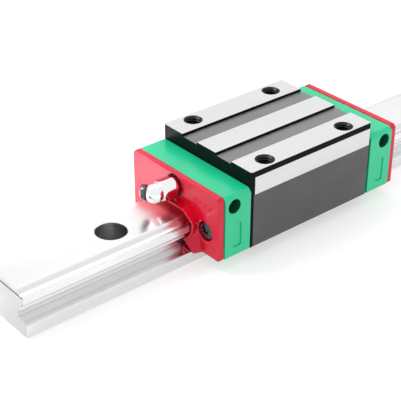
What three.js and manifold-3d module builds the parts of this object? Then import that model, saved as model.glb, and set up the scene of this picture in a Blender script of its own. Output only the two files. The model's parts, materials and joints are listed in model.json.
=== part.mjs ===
// Profile rail linear guide: a square ball carriage on its ground steel rail.
//
// Units are millimetres. X is across the rail, +Y runs along it and +Z is up. The origin is the
// centre of the rail's underside, half way along. The carriage is a group of its own, whose origin
// is the middle of the carriage at the height of the rail's underside. "Front" is the -Y end, where
// the grease nipple is, "right" is +X and "upper" and "lower" are the two ball rows of a side.
import * as THREE from 'three';
import { mergeVertices } from 'three/addons/utils/BufferGeometryUtils.js';
import Module from 'manifold-3d';

const wasm = await Module();
wasm.setup();

// ---------------------------------------------------------------- driving dimensions
const RAIL = {
  length: 264, height: 17, halfWidth: 12.5, baseTop: 4.9, waist: 7.6, waistLow: 6.5, waistHigh: 8.2,
  noseHalfWidth: 11.85, edgeChamfer: 0.6, endChamfer: 0.7,
};
const RAIL_HOLES = {
  pitch: 60, count: 4, boreRadius: 3.5, counterboreRadius: 5.5, counterboreDepth: 9, chamfer: 0.2,
};
const CARRIAGE_Y = -20;               // where the carriage stands on the rail at rest
const BLOCK = {
  halfWidth: 24, halfLength: 29, bottom: 4.6, top: 34.3, ceiling: 18.95, land: 13.4,
  cornerChamfer: 1.2, footChamfer: 0.6,
  bandTop: 32.5, bandBottom: 25.8, bandProud: 0.2, topEdgeInset: 0.6,
  grooveInner: 5, grooveOuter: 12.9, grooveDepth: 0.9, sealRecess: 16.6, sealRecessTop: 6.4,
};
const TAPPED_HOLES = { x: 19, y: 19, radius: 3, mouthRadius: 3.55, mouthDepth: 0.55, depth: 10 };
const BALL_RADIUS = 2.381;            // 3/16 inch balls
const RACEWAY_RADIUS = 2.47;          // the ground raceways are a little wider than the balls
const CHANNEL_RADIUS = 2.63;          // the return bores and turns
const ROWS = {                        // the loaded row and the return bore of each circuit, x and z
  upper: { load: [10.4, 17.2], back: [18, 20] },
  lower: { load: [12, 10.1], back: [18.3, 9] },
};
const SEAM = 0.15;                    // the joint line between block, end caps and end seals
const CAP = {
  halfWidth: 23.7, bottom: 4.8, top: 28.8, chamfer: 1.4, outer: 40.4, footChamfer: 0.4,
  portY: 36.4, portZ: 24.5, portRadius: 2.65, portDepth: 5, gap: 0.9,
};
const SEAL = {
  halfWidth: 23.2, bottom: 4.7, top: 29, chamfer: 1.2, footChamfer: 0.3, outer: 42.95, gap: 0.35,
  lipReach: 45.9, lipRoot: 0.5,
};
const LIP = {                         // right halves of the lip's outlines, x and z, listed upwards
  insideRim: [
    [13.2, 3], [13.2, 4.65], [8.15, 8.05], [10.1, 9.5], [12.2, 12.4], [12.8, 15.2], [12.3, 16.4], [8, 19.2],
  ],
  insidePlate: [
    [12.95, 3], [12.95, 4.8], [8.1, 7.8], [10.05, 9.5], [12.15, 12.45], [12.2, 15], [11.6, 16.3], [8, 18.7],
  ],
  outsideRim: [
    [13.9, 3], [13.65, 5.3], [9.35, 8.1], [10.6, 9], [12.95, 12.25], [13.5, 15.3], [12.75, 16.9], [8.35, 19.8],
  ],
  outsidePlate: [
    [15.2, 3], [14.7, 5.8], [14.4, 9.6], [12.9, 10.9], [12.75, 12.7], [12.85, 15.15], [11.6, 17.6], [8.4, 20],
  ],
};
const SEAL_SCREW = {
  x: 16.2, z: 13.7, headRadius: 3.3, headHeight: 1.3, pocketRadius: 3.6, pocketDepth: 1.55,
  shankRadius: 1.25, holeRadius: 1.5, tip: 22,
};
const NIPPLE = {
  z: 24.5, sealHoleRadius: 4.2, collarRadius: 3.1, collarStart: 40.85, hexStart: 44.2, hexEnd: 50,
  acrossFlats: 7, hexTurn: 77.5, threadRadius: 2.85, threadEnd: 34, capHoleRadius: 3.05, capHoleEnd: 33,
  elbow: 51.4, elbowRadius: 3.45, boreRadius: 1.0, socketRadius: 1.95, socketStart: -0.15,
};
const NOZZLE = {                      // distances along the nozzle are from the middle of the elbow
  bend: 60, roll: 188, rootRadius: 1.9, rootStart: -0.1, neckEnd: 2.85, headStart: 3.3, headRadius: 2.8,
  headEnd: 4.2, tipRadius: 1.6, length: 5.1, inletRadius: 0.6, chamberStart: 0.3, chamberRadius: 1.2,
  seat: 4.5, mouthRadius: 0.65,
};
const CHECK_BALL_RADIUS = 0.95;
const SPRING = { turns: 4, radius: 0.85, wireRadius: 0.14, start: 0.5, end: 2.5 };

const radians = (degrees) => degrees * Math.PI / 180;

// ---------------------------------------------------------------- from geometry to solids and back
function signedVolume(position, index) {
  const a = new THREE.Vector3();
  const b = new THREE.Vector3();
  const c = new THREE.Vector3();
  let sum = 0;
  for (let i = 0; i < index.length; i += 3) {
    a.fromBufferAttribute(position, index[i]);
    b.fromBufferAttribute(position, index[i + 1]);
    c.fromBufferAttribute(position, index[i + 2]);
    sum += a.dot(b.cross(c)) / 6;
  }
  return sum;
}

function toSolid(geometry) {
  const bare = geometry.clone();
  bare.deleteAttribute('normal');
  bare.deleteAttribute('uv');
  const merged = mergeVertices(bare, 1e-4);
  const position = merged.getAttribute('position');
  const index = [];
  for (let i = 0; i < merged.index.count; i += 3) {
    const [a, b, c] = [0, 1, 2].map((k) => merged.index.getX(i + k));
    if (a !== b && b !== c && a !== c) index.push(a, b, c);
  }
  if (signedVolume(position, index) < 0) index.reverse();
  return new wasm.Manifold(new wasm.Mesh({
    numProp: 3,
    vertProperties: new Float32Array(position.array),
    triVerts: new Uint32Array(index),
  }));
}

function toMesh(name, solid, material) {
  const { numProp, vertProperties, triVerts } = solid.getMesh();
  const corners = new Float32Array(triVerts.length * 3);
  triVerts.forEach((vertex, i) => {
    for (let k = 0; k < 3; k += 1) corners[i * 3 + k] = vertProperties[vertex * numProp + k];
  });
  const geometry = new THREE.BufferGeometry();
  geometry.setAttribute('position', new THREE.BufferAttribute(corners, 3));
  geometry.computeVertexNormals();
  const mesh = new THREE.Mesh(geometry, material);
  mesh.name = name;
  return mesh;
}

const cut = (body, ...tools) => tools.reduce((rest, tool) => rest.subtract(tool), body);
const join = (body, ...others) => others.reduce((all, other) => all.add(other), body);

// ---------------------------------------------------------------- shapes
// An outline in x and z, extruded along Y.
function prism(outline, y0, y1) {
  const shape = new THREE.Shape(outline.map(([x, z]) => new THREE.Vector2(x, z)));
  const geometry = new THREE.ExtrudeGeometry(shape, { depth: Math.abs(y1 - y0), bevelEnabled: false });
  geometry.rotateX(Math.PI / 2);
  geometry.translate(0, Math.max(y0, y1), 0);
  return toSolid(geometry);
}

// A solid between two outlines in x and z that have as many points as each other.
function loft(outline0, y0, outline1, y1) {
  const count = outline0.length;
  const corners = [[outline0, y0], [outline1, y1]].flatMap(([outline, y]) => (
    outline.flatMap(([x, z]) => [x, y, z])
  ));
  const [cap0, cap1] = [outline0, outline1].map((outline) => (
    THREE.ShapeUtils.triangulateShape(outline.map(([x, z]) => new THREE.Vector2(x, z)), [])
  ));
  const index = cap0.flat().concat(cap1.flatMap(([a, b, c]) => [c + count, b + count, a + count]));
  for (let i = 0; i < count; i += 1) {
    const j = (i + 1) % count;
    index.push(j, i, i + count, j, i + count, j + count);
  }
  const geometry = new THREE.BufferGeometry();
  geometry.setAttribute('position', new THREE.Float32BufferAttribute(corners, 3));
  geometry.setIndex(index);
  return toSolid(geometry);
}

// An outline in x and y, extruded upwards.
function slab(outline, z0, z1) {
  const shape = new THREE.Shape(outline.map(([x, y]) => new THREE.Vector2(x, y)));
  const geometry = new THREE.ExtrudeGeometry(shape, { depth: z1 - z0, bevelEnabled: false });
  geometry.translate(0, 0, z0);
  return toSolid(geometry);
}

// An outline in y and z, extruded across the whole width.
function sideProfile(outline, halfWidth) {
  const shape = new THREE.Shape(outline.map(([y, z]) => new THREE.Vector2(y, z)));
  const geometry = new THREE.ExtrudeGeometry(shape, { depth: 2 * halfWidth, bevelEnabled: false });
  geometry.rotateX(Math.PI / 2);
  geometry.rotateZ(Math.PI / 2);
  geometry.translate(-halfWidth, 0, 0);
  return toSolid(geometry);
}

function box(x0, x1, y0, y1, z0, z1) {
  const geometry = new THREE.BoxGeometry(Math.abs(x1 - x0), Math.abs(y1 - y0), Math.abs(z1 - z0));
  geometry.translate((x0 + x1) / 2, (y0 + y1) / 2, (z0 + z1) / 2);
  return toSolid(geometry);
}

// A turned piece: its profile is a list of [radius, distance along the axis].
function turned(profile, from, direction, segments = 24, spin = 0) {
  const points = profile.map(([r, h]) => new THREE.Vector2(r, h));
  const geometry = new THREE.LatheGeometry(points, segments);
  geometry.rotateY(spin);
  const turn = new THREE.Quaternion().setFromUnitVectors(
    new THREE.Vector3(0, 1, 0),
    new THREE.Vector3(...direction).normalize(),
  );
  geometry.applyQuaternion(turn);
  geometry.translate(...from);
  return toSolid(geometry);
}

function rod(radius, from, to, segments = 24, spin = 0) {
  const axis = new THREE.Vector3(...to).sub(new THREE.Vector3(...from));
  const profile = [[0, 0], [radius, 0], [radius, axis.length()], [0, axis.length()]];
  return turned(profile, from, axis.toArray(), segments, spin);
}

function ball(radius, centre, detail) {
  const geometry = new THREE.OctahedronGeometry(radius, detail);
  geometry.translate(...centre);
  return toSolid(geometry);
}

// Points on an arc, angles in degrees.
function arc([cx, cz], radius, start, end, steps) {
  return Array.from({ length: steps + 1 }, (_, i) => {
    const angle = radians(start + (end - start) * i / steps);
    return [cx + radius * Math.cos(angle), cz + radius * Math.sin(angle)];
  });
}

const mirrored = (half) => half.concat(half.slice().reverse().map(([x, z]) => [-x, z]));

// A chamfered rectangle in x and z.
function plateOutline(halfWidth, bottom, top, topChamfer, footChamfer) {
  return mirrored([
    [halfWidth - footChamfer, bottom],
    [halfWidth, bottom + footChamfer],
    [halfWidth, top - topChamfer],
    [halfWidth - topChamfer, top],
  ]);
}

// ---------------------------------------------------------------- rail
// The right half of the rail's section: base, waist, lower raceway, nose, upper raceway.
function railHalf() {
  const topEdge = 180 + THREE.MathUtils.radToDeg(Math.asin(
    (ROWS.upper.load[1] - RAIL.height) / RACEWAY_RADIUS,
  ));
  const noseEdge = -THREE.MathUtils.radToDeg(Math.acos(
    (RAIL.noseHalfWidth - ROWS.upper.load[0]) / RACEWAY_RADIUS,
  ));
  return [
    [RAIL.halfWidth - RAIL.edgeChamfer, 0],
    [RAIL.halfWidth, RAIL.edgeChamfer],
    [RAIL.halfWidth, RAIL.baseTop],
    [RAIL.waist, RAIL.waistLow],
    [RAIL.waist, RAIL.waistHigh],
    ...arc(ROWS.lower.load, RACEWAY_RADIUS, 190, 97, 6),
    [RAIL.noseHalfWidth, ROWS.lower.load[1] + RACEWAY_RADIUS + 0.2],
    ...arc(ROWS.upper.load, RACEWAY_RADIUS, noseEdge, topEdge - 360, 7),
  ];
}

function guideRail() {
  const end = RAIL.length / 2;
  const body = prism(mirrored(railHalf()), -end, end);
  const ends = sideProfile([
    [-end, 0], [end, 0], [end, RAIL.height - RAIL.endChamfer], [end - RAIL.endChamfer, RAIL.height],
    [-end + RAIL.endChamfer, RAIL.height], [-end, RAIL.height - RAIL.endChamfer],
  ], RAIL.halfWidth + 1);
  const { pitch, count, boreRadius, counterboreRadius, counterboreDepth, chamfer } = RAIL_HOLES;
  const shelf = RAIL.height - counterboreDepth;
  const profile = [
    [0, -1], [boreRadius, -1], [boreRadius, shelf], [counterboreRadius, shelf],
    [counterboreRadius, RAIL.height - chamfer], [counterboreRadius + chamfer + 1, RAIL.height + 1],
    [0, RAIL.height + 1],
  ];
  const holes = Array.from({ length: count }, (_, i) => (
    turned(profile, [0, (i - (count - 1) / 2) * pitch, 0], [0, 0, 1], 28)
  ));
  return cut(body.intersect(ends), ...holes);
}

// The rail's section in straight lines.
function railEnvelope() {
  const flank = ROWS.lower.load;
  return mirrored([
    [RAIL.halfWidth, -1],
    [RAIL.halfWidth, RAIL.baseTop],
    [RAIL.waist, RAIL.waistLow],
    [RAIL.waist, RAIL.waistHigh],
    [flank[0] - RACEWAY_RADIUS, flank[1] - 0.4],
    [RAIL.noseHalfWidth, flank[1] + RACEWAY_RADIUS + 0.2],
    [RAIL.noseHalfWidth, RAIL.height - 1.9],
    [RAIL.waist + 0.4, RAIL.height],
  ]);
}

// An anticlockwise outline moved outwards by a distance, with mitred corners.
function grown(outline, distance) {
  return outline.map((point, i) => {
    const before = outline[(i + outline.length - 1) % outline.length];
    const after = outline[(i + 1) % outline.length];
    const normals = [[before, point], [point, after]].map(([p, q]) => (
      new THREE.Vector2(q[1] - p[1], p[0] - q[0]).normalize()
    ));
    const mitre = normals[0].clone().add(normals[1]).divideScalar(1 + normals[0].dot(normals[1]));
    return [point[0] + distance * mitre.x, point[1] + distance * mitre.y];
  });
}

// ---------------------------------------------------------------- carriage block
function blockHalf() {
  const b = BLOCK;
  const landFoot = THREE.MathUtils.radToDeg(Math.acos((b.land - ROWS.lower.load[0]) / RACEWAY_RADIUS));
  const side = b.halfWidth - b.bandProud;
  return [
    [b.grooveInner, b.top],
    [b.grooveInner, b.top - b.grooveDepth],
    [b.grooveOuter, b.top - b.grooveDepth],
    [b.grooveOuter, b.top],
    [b.halfWidth - b.topEdgeInset, b.top],
    [b.halfWidth, b.bandTop],
    [b.halfWidth, b.bandBottom],
    [side, b.bandBottom - b.bandProud],
    [side, b.bottom + b.footChamfer],
    [side - b.footChamfer, b.bottom],
    [b.sealRecess, b.bottom],
    [b.sealRecess, b.sealRecessTop],
    [ROWS.lower.load[0] + RACEWAY_RADIUS * Math.cos(radians(-75)), b.sealRecessTop],
    ...arc(ROWS.lower.load, RACEWAY_RADIUS, -75, landFoot, 8),
    [b.land, ROWS.upper.load[1] - 1],
    ...arc(ROWS.upper.load, RACEWAY_RADIUS, -10, 135, 8),
  ];
}

function carriageBlock() {
  const b = BLOCK;
  const c = b.cornerChamfer;
  const body = prism(mirrored(blockHalf()), -b.halfLength, b.halfLength);
  const plan = [
    [b.halfWidth, b.halfLength - c], [b.halfWidth - c, b.halfLength],
    [-b.halfWidth + c, b.halfLength], [-b.halfWidth, b.halfLength - c],
    [-b.halfWidth, -b.halfLength + c], [-b.halfWidth + c, -b.halfLength],
    [b.halfWidth - c, -b.halfLength], [b.halfWidth, -b.halfLength + c],
  ];
  const t = TAPPED_HOLES;
  const hole = [
    [0, -t.depth - 1.2], [t.radius, -t.depth], [t.radius, -t.mouthDepth], [t.mouthRadius, 0],
    [t.mouthRadius, 1], [0, 1],
  ];
  const tools = [];
  for (const side of [-1, 1]) {
    for (const end of [-1, 1]) {
      tools.push(turned(hole, [side * t.x, end * t.y, b.top], [0, 0, 1], 24));
      const screw = [side * SEAL_SCREW.x, SEAL_SCREW.z];
      tools.push(rod(
        SEAL_SCREW.holeRadius,
        [screw[0], end * (SEAL_SCREW.tip - 1), screw[1]],
        [screw[0], end * (b.halfLength + 1), screw[1]],
        12,
      ));
    }
    for (const { back } of Object.values(ROWS)) {
      const ends = [-1, 1].map((end) => [side * back[0], end * (b.halfLength + 1), back[1]]);
      tools.push(rod(CHANNEL_RADIUS, ends[0], ends[1], 16));
    }
  }
  return cut(body.intersect(slab(plan, 0, b.top + 1)), ...tools);
}

// ---------------------------------------------------------------- ball circuits
// The turn between a loaded row and its return bore, at one end of the block.
function turnOf(row, side, end) {
  const load = new THREE.Vector3(side * row.load[0], 0, row.load[1]);
  const back = new THREE.Vector3(side * row.back[0], 0, row.back[1]);
  const across = back.clone().sub(load);
  const centre = load.add(back).multiplyScalar(0.5).setY(end * BLOCK.halfLength);
  return { centre, radius: across.length() / 2, across: across.normalize() };
}

// A ring or a disc that lies in the plane of a turn.
function inTurnPlane(geometry, turn) {
  const out = new THREE.Vector3(0, 1, 0);
  const normal = new THREE.Vector3().crossVectors(turn.across, out);
  geometry.applyMatrix4(new THREE.Matrix4().makeBasis(turn.across, out, normal));
  geometry.translate(...turn.centre.toArray());
  return toSolid(geometry);
}

const turnChannel = (turn) => (
  inTurnPlane(new THREE.TorusGeometry(turn.radius, CHANNEL_RADIUS, 8, 16), turn)
);

function turnDisc(turn, radius, thickness) {
  const geometry = new THREE.CylinderGeometry(radius, radius, thickness, 16);
  geometry.rotateX(Math.PI / 2);
  return inTurnPlane(geometry, turn);
}

// The half spool that the balls turn round, held between the block and the end cap.
function returnGuide(row, side, end) {
  const turn = turnOf(row, side, end);
  const face = BLOCK.halfLength + SEAM;
  const reach = box(-30, 30, end * face, end * (face + 12), 0, 40);
  return turnDisc(turn, turn.radius - 0.3, 4.4).intersect(reach).subtract(turnChannel(turn));
}

// One circuit of balls, evenly spaced round its track and held in line by a thin cage.
function ballCircuit(row, side) {
  const straight = 2 * BLOCK.halfLength;
  const front = turnOf(row, side, -1);
  const around = Math.PI * front.radius;
  const length = 2 * (straight + around);
  const count = Math.floor(length / (2 * BALL_RADIUS + 0.06));
  const at = (distance) => {
    let s = distance % length;
    if (s < straight) return [side * row.load[0], s - BLOCK.halfLength, row.load[1]];
    s -= straight;
    if (s < around) return onTurn(turnOf(row, side, 1), s / front.radius, 1);
    s -= around;
    if (s < straight) return [side * row.back[0], BLOCK.halfLength - s, row.back[1]];
    return onTurn(front, Math.PI - (s - straight) / front.radius, -1);
  };
  const centres = Array.from({ length: count }, (_, i) => at(length * (i + 0.5) / count));
  const pieces = centres.flatMap((centre, i) => [
    ball(BALL_RADIUS, centre, 1),
    rod(0.45, centre, centres[(i + 1) % count], 3),
  ]);
  return join(...pieces);
}

function onTurn(turn, angle, end) {
  const point = turn.centre.clone().addScaledVector(turn.across, -turn.radius * Math.cos(angle));
  point.y += end * turn.radius * Math.sin(angle);
  return point.toArray();
}

// ---------------------------------------------------------------- retainers and bottom seals
const strip = (outline) => {
  const reach = BLOCK.halfLength - SEAM;
  return prism(outline, -reach, reach);
};
const rectangle = (x0, x1, z0, z1) => [[x0, z0], [x1, z0], [x1, z1], [x0, z1]];
const topRetainer = () => strip(rectangle(-7.8, 7.8, 17.55, 18.45));
const middleRetainer = (side) => strip(rectangle(side * 12.15, side * 13.1, 12.9, 14.4));
const lowerRetainer = (side) => strip(rectangle(side * 9.3, side * 11.2, 6.3, 7.1));
const bottomSeal = (side) => strip([
  [12.85, 4.75], [16.3, 4.75], [16.3, 6.1], [13.2, 6.1], [11.6, 5.85], [11.6, 5.55],
].map(([x, z]) => [side * x, z]));

// ---------------------------------------------------------------- end caps
function endCap(end) {
  const inner = BLOCK.halfLength + SEAM;
  const outline = plateOutline(CAP.halfWidth, CAP.bottom, CAP.top, CAP.chamfer, CAP.footChamfer);
  const body = prism(outline, end * inner, end * CAP.outer);
  const tools = [
    prism(grown(railEnvelope(), CAP.gap), end * (inner - 1), end * (CAP.outer + 1)),
    rod(NIPPLE.capHoleRadius, [0, end * NIPPLE.capHoleEnd, NIPPLE.z], [0, end * (CAP.outer + 1), NIPPLE.z], 20),
    rod(1.2, [0, end * (inner - 1), NIPPLE.z], [0, end * (NIPPLE.capHoleEnd + 1), NIPPLE.z], 12),
    box(-18.8, 18.8, end * (inner - 1), end * (inner + 1.2), NIPPLE.z - 0.8, NIPPLE.z + 0.8),
  ];
  for (const side of [-1, 1]) {
    tools.push(box(side * 17.2, side * 18.8, end * (inner - 1), end * (inner + 1.2), 21, NIPPLE.z));
    for (const row of Object.values(ROWS)) {
      const turn = turnOf(row, side, end);
      tools.push(turnChannel(turn), turnDisc(turn, turn.radius, 5));
    }
    tools.push(rod(
      SEAL_SCREW.holeRadius,
      [side * SEAL_SCREW.x, end * (inner - 1), SEAL_SCREW.z],
      [side * SEAL_SCREW.x, end * (CAP.outer + 1), SEAL_SCREW.z],
      12,
    ));
    tools.push(rod(
      CAP.portRadius,
      [side * (CAP.halfWidth - CAP.portDepth), end * CAP.portY, CAP.portZ],
      [side * (CAP.halfWidth + 1), end * CAP.portY, CAP.portZ],
    ));
  }
  return cut(body, ...tools);
}

// ---------------------------------------------------------------- end seals and their screws
function endSeal(end) {
  const inner = CAP.outer + SEAM;
  const outline = plateOutline(SEAL.halfWidth, SEAL.bottom, SEAL.top, SEAL.chamfer, SEAL.footChamfer);
  const plate = prism(outline, end * inner, end * SEAL.outer);
  const beyond = end * (SEAL.lipReach + 1);
  const [insideRim, insidePlate] = [LIP.insideRim, LIP.insidePlate].map(mirrored);
  const lip = loft(
    mirrored(LIP.outsidePlate), end * (SEAL.outer - SEAL.lipRoot),
    mirrored(LIP.outsideRim), end * SEAL.lipReach,
  ).subtract(box(-30, 30, end * inner, beyond, -5, SEAL.bottom));
  const tools = [
    prism(grown(railEnvelope(), SEAL.gap), end * (inner - 1), beyond),
    loft(insidePlate, end * SEAL.outer, insideRim, end * SEAL.lipReach),
    prism(insideRim, end * (SEAL.lipReach - 0.01), beyond),
    rod(NIPPLE.sealHoleRadius, [0, end * (inner - 1), NIPPLE.z], [0, beyond, NIPPLE.z], 28),
  ];
  for (const side of [-1, 1]) {
    const [x, z] = [side * SEAL_SCREW.x, SEAL_SCREW.z];
    const pocketFloor = end * (SEAL.outer - SEAL_SCREW.pocketDepth);
    tools.push(
      rod(SEAL_SCREW.holeRadius, [x, end * (inner - 1), z], [x, beyond, z], 12),
      rod(SEAL_SCREW.pocketRadius, [x, pocketFloor, z], [x, beyond, z]),
    );
  }
  return cut(join(plate, lip), ...tools);
}

// A low round head with a cross recess, on a plain shank.
function sealScrew(side, end) {
  const s = SEAL_SCREW;
  const seat = SEAL.outer - s.pocketDepth + SEAM;
  const crown = seat + s.headHeight;
  const at = (y) => [side * s.x, end * y, s.z];
  const along = [0, end, 0];
  const head = turned([
    [0, 0], [s.headRadius, 0], [s.headRadius, 0.55 * s.headHeight],
    [s.headRadius - 0.5, s.headHeight], [0, s.headHeight],
  ], at(seat), along);
  const shank = rod(s.shankRadius, at(s.tip), at(seat + 0.2), 12);
  const recess = [[1.75, 0.35], [0.35, 1.75]].map(([w, h]) => box(
    side * s.x - w, side * s.x + w, end * (crown - 0.9), end * (crown + 1), s.z - h, s.z + h,
  ));
  return cut(join(head, shank), ...recess);
}

// ---------------------------------------------------------------- grease nipple
const nozzleDirection = (() => {
  const sideways = Math.sin(radians(NOZZLE.bend));
  return [
    sideways * Math.cos(radians(NOZZLE.roll)),
    -Math.cos(radians(NOZZLE.bend)),
    sideways * Math.sin(radians(NOZZLE.roll)),
  ];
})();

const alongNozzle = (distance) => {
  const elbow = new THREE.Vector3(0, -NIPPLE.elbow, NIPPLE.z);
  return elbow.addScaledVector(new THREE.Vector3(...nozzleDirection), distance).toArray();
};

// The nipple's body: a threaded shank, a hexagon and a ball shaped elbow with a socket for the nozzle.
function greaseNipple() {
  const n = NIPPLE;
  const axis = (y) => [0, -y, n.z];
  const hexRadius = n.acrossFlats / Math.sqrt(3);
  const corners = Array.from({ length: 6 }, (_, i) => {
    const angle = radians(n.hexTurn + 60 * i);
    return [hexRadius * Math.cos(angle), n.z + hexRadius * Math.sin(angle)];
  });
  const hex = prism(corners, -n.hexStart, -n.hexEnd);
  const collar = rod(n.collarRadius, axis(n.collarStart), axis(n.hexStart + 0.5), 28);
  const thread = rod(n.threadRadius, axis(n.threadEnd), axis(n.collarStart + 0.5), 20);
  const elbow = turned(
    arc([0, 0], n.elbowRadius, -90, 90, 10).map(([r, h]) => [Math.max(r, 0), h]),
    axis(n.elbow), [0, -1, 0], 24,
  );
  return cut(
    join(hex, collar, thread, elbow),
    rod(n.boreRadius, axis(n.threadEnd - 1), axis(n.elbow), 12),
    rod(n.socketRadius, alongNozzle(n.socketStart), alongNozzle(n.elbowRadius + 1), 24),
  );
}

// The nozzle is pressed into the elbow. Its chamber holds the spring and the check ball.
function nozzle() {
  const n = NOZZLE;
  const outside = turned([
    [0, n.rootStart], [n.rootRadius, n.rootStart], [n.rootRadius, n.neckEnd], [n.headRadius, n.headStart],
    [n.headRadius, n.headEnd], [n.tipRadius, n.length], [0, n.length],
  ], alongNozzle(0), nozzleDirection, 28);
  return cut(
    outside,
    rod(n.inletRadius, alongNozzle(n.rootStart - 1), alongNozzle(n.chamberStart + 0.1), 12),
    rod(n.chamberRadius, alongNozzle(n.chamberStart), alongNozzle(n.seat), 16),
    rod(n.mouthRadius, alongNozzle(n.seat - 0.1), alongNozzle(n.length + 1), 12),
  );
}

function checkBall() {
  const depth = Math.sqrt(CHECK_BALL_RADIUS ** 2 - NOZZLE.mouthRadius ** 2) + 0.08;
  return ball(CHECK_BALL_RADIUS, alongNozzle(NOZZLE.seat - depth), 2);
}

// The coil spring behind the check ball.
function checkSpring() {
  const { turns, radius, wireRadius, start, end } = SPRING;
  class Helix extends THREE.Curve {
    getPoint(t, target = new THREE.Vector3()) {
      const angle = 2 * Math.PI * turns * t;
      return target.set(radius * Math.cos(angle), (end - start) * t, radius * Math.sin(angle));
    }
  }
  const wire = new THREE.Shape(arc([0, 0], wireRadius, 0, 288, 4).map(([x, y]) => new THREE.Vector2(x, y)));
  const geometry = new THREE.ExtrudeGeometry(wire, { steps: turns * 8, extrudePath: new Helix() });
  geometry.applyQuaternion(new THREE.Quaternion().setFromUnitVectors(
    new THREE.Vector3(0, 1, 0), new THREE.Vector3(...nozzleDirection),
  ));
  geometry.translate(...alongNozzle(start));
  return toSolid(geometry);
}

// The socket set screw that closes the unused lubrication hole of the rear end cap.
function rearPlug() {
  const inner = 34.5;
  const outer = 40;
  const at = (y) => [0, y, NIPPLE.z];
  const body = rod(NIPPLE.threadRadius, at(inner), at(outer), 20);
  return body.subtract(rod(1.7, at(outer - 2.2), at(outer + 1), 6));
}

// ---------------------------------------------------------------- materials
const finish = (color, roughness, metalness) => (
  () => new THREE.MeshStandardMaterial({ color, roughness, metalness })
);
const MATERIALS = {
  groundSteel: finish(0xe8e8ea, 0.22, 1),
  blackenedSteel: finish(0x4a4c4e, 0.42, 0.9),
  greenPlastic: finish(0x3fce95, 0.38, 0),
  redRubber: finish(0xe8283c, 0.35, 0),
  blackSteel: finish(0x1c1c1e, 0.3, 0.9),
  chrome: finish(0xf0f0f0, 0.08, 1),
  bearingSteel: finish(0xd8d8dc, 0.1, 1),
  blackPlastic: finish(0x2a2b2c, 0.5, 0),
  springSteel: finish(0xbfc1c4, 0.25, 1),
};

// ---------------------------------------------------------------- the assembly
const linearGuide = new THREE.Group();
const carriage = new THREE.Group();
carriage.position.y = CARRIAGE_Y;
linearGuide.add(toMesh('guide_rail', guideRail(), MATERIALS.groundSteel()), carriage);

const fit = (name, solid, material) => carriage.add(toMesh(name, solid, MATERIALS[material]()));
const ENDS = { front: -1, rear: 1 };
const SIDES = { left: -1, right: 1 };

fit('carriage_block', carriageBlock(), 'blackenedSteel');
fit('top_ball_retainer', topRetainer(), 'blackPlastic');
for (const [sideName, side] of Object.entries(SIDES)) {
  fit(`${sideName}_middle_ball_retainer`, middleRetainer(side), 'blackPlastic');
  fit(`${sideName}_lower_ball_retainer`, lowerRetainer(side), 'blackPlastic');
  fit(`${sideName}_bottom_seal`, bottomSeal(side), 'redRubber');
  for (const [rowName, row] of Object.entries(ROWS)) {
    fit(`${sideName}_${rowName}_ball_circuit`, ballCircuit(row, side), 'bearingSteel');
  }
}
for (const [endName, end] of Object.entries(ENDS)) {
  fit(`${endName}_end_cap`, endCap(end), 'greenPlastic');
  fit(`${endName}_end_seal`, endSeal(end), 'redRubber');
  for (const [sideName, side] of Object.entries(SIDES)) {
    fit(`${endName}_${sideName}_seal_screw`, sealScrew(side, end), 'blackSteel');
    for (const [rowName, row] of Object.entries(ROWS)) {
      fit(`${endName}_${sideName}_${rowName}_return_guide`, returnGuide(row, side, end), 'blackPlastic');
    }
  }
}
fit('grease_nipple', greaseNipple(), 'chrome');
fit('nipple_nozzle', nozzle(), 'blackSteel');
fit('nipple_check_ball', checkBall(), 'bearingSteel');
fit('nipple_spring', checkSpring(), 'springSteel');
fit('rear_lubrication_plug', rearPlug(), 'blackSteel');

export default linearGuide;
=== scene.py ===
# Linear guide: a square ball carriage on its profile rail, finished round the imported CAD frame.
#
# Shapes are drawn in millimetres, X across the rail, +Y along it and +Z up. Carriage pieces are
# drawn with y = 0 at the middle of the carriage. piece() scales them to metres and puts them on
# their CAD body. "Front" is the -Y end with the grease nipple, "right" is +X.
import json
import math

import bmesh
import bpy
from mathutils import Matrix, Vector


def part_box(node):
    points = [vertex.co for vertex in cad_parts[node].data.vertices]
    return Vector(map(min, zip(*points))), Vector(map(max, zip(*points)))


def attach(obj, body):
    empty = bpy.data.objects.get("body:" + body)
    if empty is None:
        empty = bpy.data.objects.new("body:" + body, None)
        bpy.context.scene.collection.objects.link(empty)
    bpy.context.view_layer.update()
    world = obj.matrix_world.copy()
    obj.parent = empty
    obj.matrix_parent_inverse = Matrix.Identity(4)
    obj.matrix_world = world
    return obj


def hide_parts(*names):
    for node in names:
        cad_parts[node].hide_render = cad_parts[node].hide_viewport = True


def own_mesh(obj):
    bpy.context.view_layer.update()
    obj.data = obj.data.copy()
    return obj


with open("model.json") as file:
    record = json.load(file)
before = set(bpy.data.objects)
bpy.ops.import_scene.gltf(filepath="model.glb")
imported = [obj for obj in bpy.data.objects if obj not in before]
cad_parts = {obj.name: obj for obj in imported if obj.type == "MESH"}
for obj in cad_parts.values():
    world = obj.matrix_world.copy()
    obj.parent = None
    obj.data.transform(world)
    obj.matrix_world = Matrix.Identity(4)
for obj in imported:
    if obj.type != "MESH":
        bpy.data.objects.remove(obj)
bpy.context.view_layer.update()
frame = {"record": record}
record = frame["record"]

MM = 0.001


def box_mm(node):
    """The lowest and highest corner of a CAD node, in millimetres."""
    low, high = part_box(node)
    return low / MM, high / MM


# ---------------------------------------------------------------- dimensions
RAIL_HIGH = box_mm("guide_rail")[1]
BLOCK_LOW, BLOCK_HIGH = box_mm("carriage_block")
CARRIAGE_Y = (BLOCK_LOW.y + BLOCK_HIGH.y) / 2
CAP_LOW, CAP_HIGH = box_mm("rear_end_cap")
SEAL_LOW, SEAL_HIGH = box_mm("rear_end_seal")

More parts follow.
